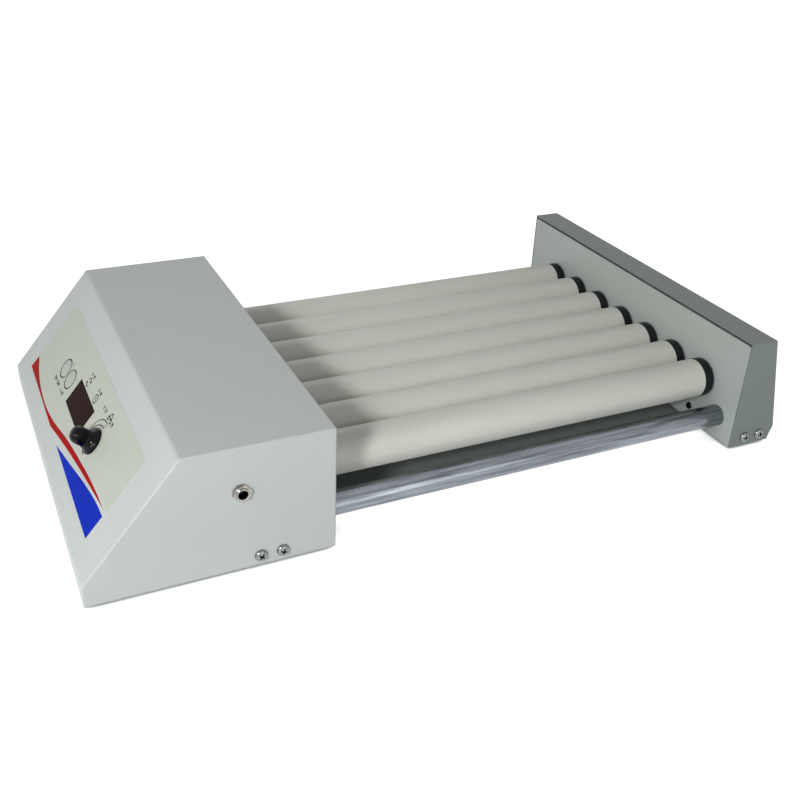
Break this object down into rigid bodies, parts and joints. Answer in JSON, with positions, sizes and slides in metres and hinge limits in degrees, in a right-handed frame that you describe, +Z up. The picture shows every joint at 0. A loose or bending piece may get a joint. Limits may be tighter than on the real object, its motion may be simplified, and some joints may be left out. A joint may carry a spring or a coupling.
{
  "type": "tube roller mixer",
  "caption": "Bench tube mixer: a row of leaning driven rollers between a sloping control box and a narrow end housing rolls and rocks sample tubes.",
  "frame": {"origin": "centre of the footprint, at the height of the feet's lower faces", "axes": "+X from the control box to the end housing, along the rollers; +Y across the rollers, away from the power socket; +Z up"},
  "size_m": [0.5073, 0.2942, 0.088],
  "materials": {
    "cover_paint": "fine-textured pale grey powder coat",
    "plate_paint": "smooth pale grey powder coat",
    "tray_paint": "pale grey powder coat",
    "roller_sleeve": "off-white moulded sleeve, faintly mottled",
    "plug_black": "black moulded nylon",
    "pulley_plastic": "natural acetal",
    "belt_rubber": "black polyurethane cord",
    "bush_bronze": "sintered bronze",
    "tie_steel": "drawn bright steel tube",
    "screw_steel": "bright zinc plate",
    "foot_rubber": "black rubber",
    "film_print": "printed polycarbonate film",
    "window_tint": "dark red tinted acrylic",
    "key_film": "printed key cap",
    "knob_black": "gloss black moulding",
    "socket_black": "black moulded socket",
    "nut_nickel": "nickel plate",
    "board_green": "green circuit board",
    "display_black": "black read-out block",
    "switch_black": "black push switch",
    "spacer_nickel": "nickel-plated brass",
    "motor_zinc": "zinc-plated can",
    "bracket_zinc": "zinc-plated sheet",
    "shaft_steel": "ground steel"
  },
  "bodies": {
    "housing": {"control_cover": "cover_paint", "end_cover": "cover_paint", "control_bearing_plate": "plate_paint", "end_bearing_plate": "plate_paint", "control_base": "tray_paint", "end_base": "tray_paint", "bearing_bushes": "bush_bronze", "roller_belts": "belt_rubber", "motor_belt": "belt_rubber", "drive_motor": "motor_zinc", "motor_bracket": "bracket_zinc", "tie_tube_near": "tie_steel", "tie_tube_far": "tie_steel", "tie_tube_screws": "screw_steel", "cover_screws": "screw_steel", "small_screws": "screw_steel", "rubber_feet": "foot_rubber", "panel_overlay": "film_print", "display_window": "window_tint", "display_module": "display_black", "key_switches": "switch_black", "potentiometer": "switch_black", "circuit_board": "board_green", "board_spacers": "spacer_nickel", "dc_socket": "socket_black", "dc_socket_nut": "nut_nickel"},
    "roller_1": {"roller_tube_1": "roller_sleeve", "drive_plug_1": "plug_black", "idle_plug_1": "plug_black", "roller_pulley_1": "pulley_plastic"},
    "roller_2": {"roller_tube_2": "roller_sleeve", "drive_plug_2": "plug_black", "idle_plug_2": "plug_black", "roller_pulley_2": "pulley_plastic"},
    "roller_3": {"roller_tube_3": "roller_sleeve", "drive_plug_3": "plug_black", "idle_plug_3": "plug_black", "roller_pulley_3": "pulley_plastic"},
    "roller_4": {"roller_tube_4": "roller_sleeve", "drive_plug_4": "plug_black", "idle_plug_4": "plug_black", "roller_pulley_4": "pulley_plastic"},
    "roller_5": {"roller_tube_5": "roller_sleeve", "drive_plug_5": "plug_black", "idle_plug_5": "plug_black", "roller_pulley_5": "pulley_plastic"},
    "roller_6": {"roller_tube_6": "roller_sleeve", "drive_plug_6": "plug_black", "idle_plug_6": "plug_black", "roller_pulley_6": "pulley_plastic"},
    "roller_7": {"roller_tube_7": "roller_sleeve", "drive_plug_7": "plug_black", "idle_plug_7": "plug_black", "roller_pulley_7": "pulley_plastic"},
    "motor_drive": {"motor_shaft": "shaft_steel", "motor_pulley": "pulley_plastic"},
    "speed_control": {"speed_knob": "knob_black", "potentiometer_spindle": "shaft_steel"},
    "first_key": {"key_1": "key_film"},
    "second_key": {"key_2": "key_film"}
  },
  "joints": [
    {"name": "roller_1_spin", "type": "hinge", "parent": "housing", "child": "roller_1", "pos_m": [-0.10125, -0.1005, 0.0415], "axis": [1, 0, 0], "continuous": true},
    {"name": "roller_2_spin", "type": "hinge", "parent": "housing", "child": "roller_2", "pos_m": [-0.10125, -0.067, 0.0415], "axis": [1, 0, 0], "continuous": true},
    {"name": "roller_3_spin", "type": "hinge", "parent": "housing", "child": "roller_3", "pos_m": [-0.10125, -0.0335, 0.0415], "axis": [1, 0, 0], "continuous": true},
    {"name": "roller_4_spin", "type": "hinge", "parent": "housing", "child": "roller_4", "pos_m": [-0.10125, 0, 0.0415], "axis": [1, 0, 0], "continuous": true},
    {"name": "roller_5_spin", "type": "hinge", "parent": "housing", "child": "roller_5", "pos_m": [-0.10125, 0.0335, 0.0415], "axis": [1, 0, 0], "continuous": true},
    {"name": "roller_6_spin", "type": "hinge", "parent": "housing", "child": "roller_6", "pos_m": [-0.10125, 0.067, 0.0415], "axis": [1, 0, 0], "continuous": true},
    {"name": "roller_7_spin", "type": "hinge", "parent": "housing", "child": "roller_7", "pos_m": [-0.10125, 0.1005, 0.0415], "axis": [1, 0, 0], "continuous": true},
    {"name": "motor_spin", "type": "hinge", "parent": "housing", "child": "motor_drive", "pos_m": [-0.10875, 0.08375, 0.0215], "axis": [1, 0, 0], "continuous": true},
    {"name": "speed_knob_turn", "type": "hinge", "parent": "housing", "child": "speed_control", "pos_m": [-0.22579, -0.0464, 0.04982], "axis": [0.766, 0, -0.6428], "range_deg": [0, 300]},
    {"name": "key_1_press", "type": "slide", "parent": "housing", "child": "first_key", "axis": [0.766, 0, -0.6428], "range_m": [0, 0.0004], "stiffness_N_per_m": 1500},
    {"name": "key_2_press", "type": "slide", "parent": "housing", "child": "second_key", "axis": [0.766, 0, -0.6428], "range_m": [0, 0.0004], "stiffness_N_per_m": 1500}
  ],
  "couplings": [
    {"joint": "roller_2_spin", "follows": "roller_1_spin", "ratio": 1},
    {"joint": "roller_3_spin", "follows": "roller_1_spin", "ratio": 1},
    {"joint": "roller_4_spin", "follows": "roller_1_spin", "ratio": 1},
    {"joint": "roller_5_spin", "follows": "roller_1_spin", "ratio": 1},
    {"joint": "roller_6_spin", "follows": "roller_1_spin", "ratio": 1},
    {"joint": "roller_7_spin", "follows": "roller_1_spin", "ratio": 1},
    {"joint": "motor_spin", "follows": "roller_1_spin", "ratio": 1.411}
  ]
}
